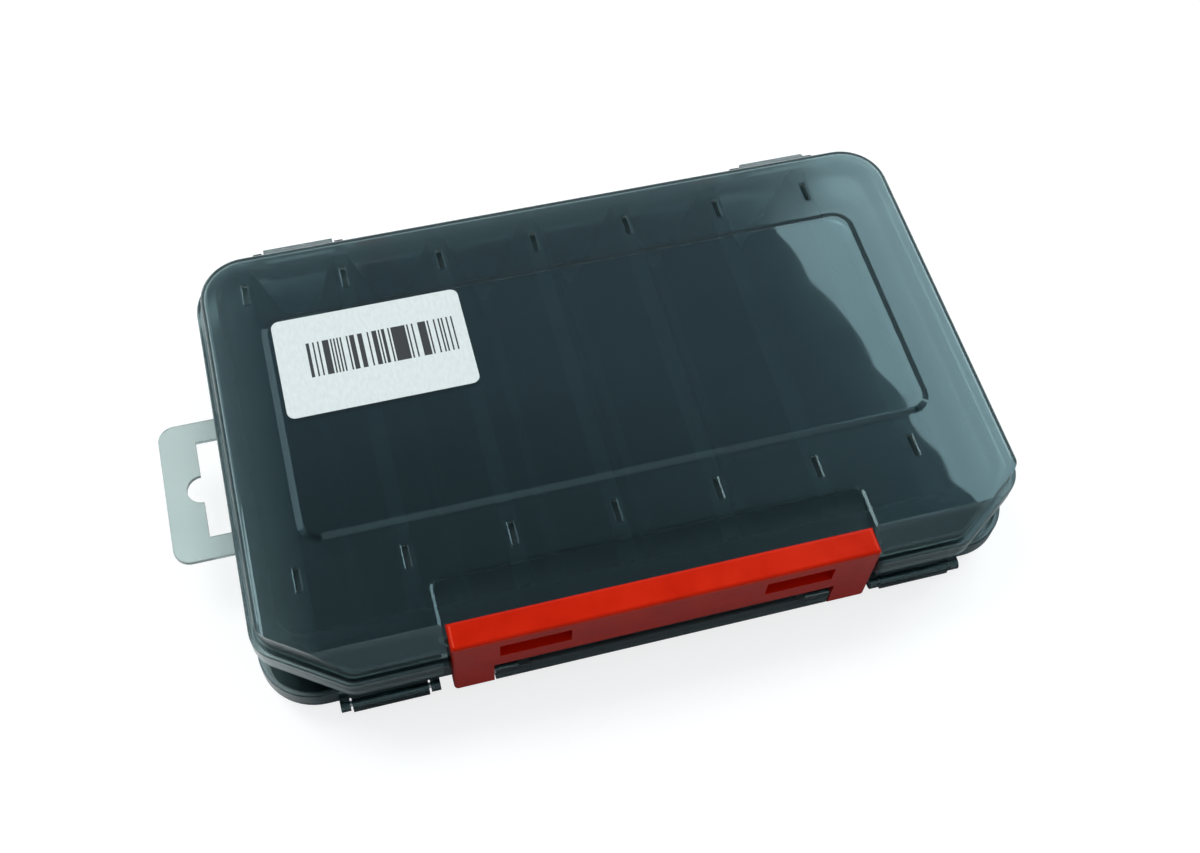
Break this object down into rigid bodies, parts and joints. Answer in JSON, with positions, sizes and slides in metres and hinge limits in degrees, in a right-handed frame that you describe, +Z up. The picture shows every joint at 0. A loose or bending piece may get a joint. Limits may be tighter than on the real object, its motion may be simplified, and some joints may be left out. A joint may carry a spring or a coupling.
{
  "type": "tackle box",
  "caption": "Flat two-sided tackle box in clear smoke plastic, with a hinged lid on each face, broad snap latches, a wavy partition that forms troughs for lures, and a hang tab.",
  "frame": {"origin": "on the floor, under the middle of the case, at the bottom lid's raised panel", "axes": "+X along the box, with the hang tab at -X; +Y from the front latch to the top lid's hinges; +Z up"},
  "size_m": [0.2965, 0.1848, 0.0521],
  "materials": {
    "smoke": "gloss",
    "red": "gloss",
    "steel": "satin",
    "paper": "matte"
  },
  "bodies": {
    "case": {"case_frame": "smoke", "wave_partition": "smoke", "hang_tab": "smoke", "top_hinge_pin_left": "steel", "top_hinge_pin_right": "steel", "bottom_hinge_pin_left": "steel", "bottom_hinge_pin_right": "steel", "front_latch_pin_left": "steel", "front_latch_pin_right": "steel", "rear_latch_pin_left": "steel", "rear_latch_pin_right": "steel"},
    "top_lid": {"top_lid": "smoke", "label": "paper"},
    "bottom_lid": {"bottom_lid": "smoke"},
    "front_latch": {"front_latch": "red"},
    "rear_latch": {"rear_latch": "red"}
  },
  "joints": [
    {"name": "top_lid_hinge", "type": "hinge", "parent": "case", "child": "top_lid", "pos_m": [0, 0.0872, 0.0382], "axis": [-1, 0, 0], "range_deg": [0, 110]},
    {"name": "bottom_lid_hinge", "type": "hinge", "parent": "case", "child": "bottom_lid", "pos_m": [0, -0.0872, 0.0138], "axis": [-1, 0, 0], "range_deg": [0, 110]},
    {"name": "front_latch_hinge", "type": "hinge", "parent": "case", "child": "front_latch", "pos_m": [0, -0.0892, 0.0197], "axis": [1, 0, 0], "range_deg": [0, 90]},
    {"name": "rear_latch_hinge", "type": "hinge", "parent": "case", "child": "rear_latch", "pos_m": [0, 0.0892, 0.0323], "axis": [1, 0, 0], "range_deg": [0, 90]}
  ]
}
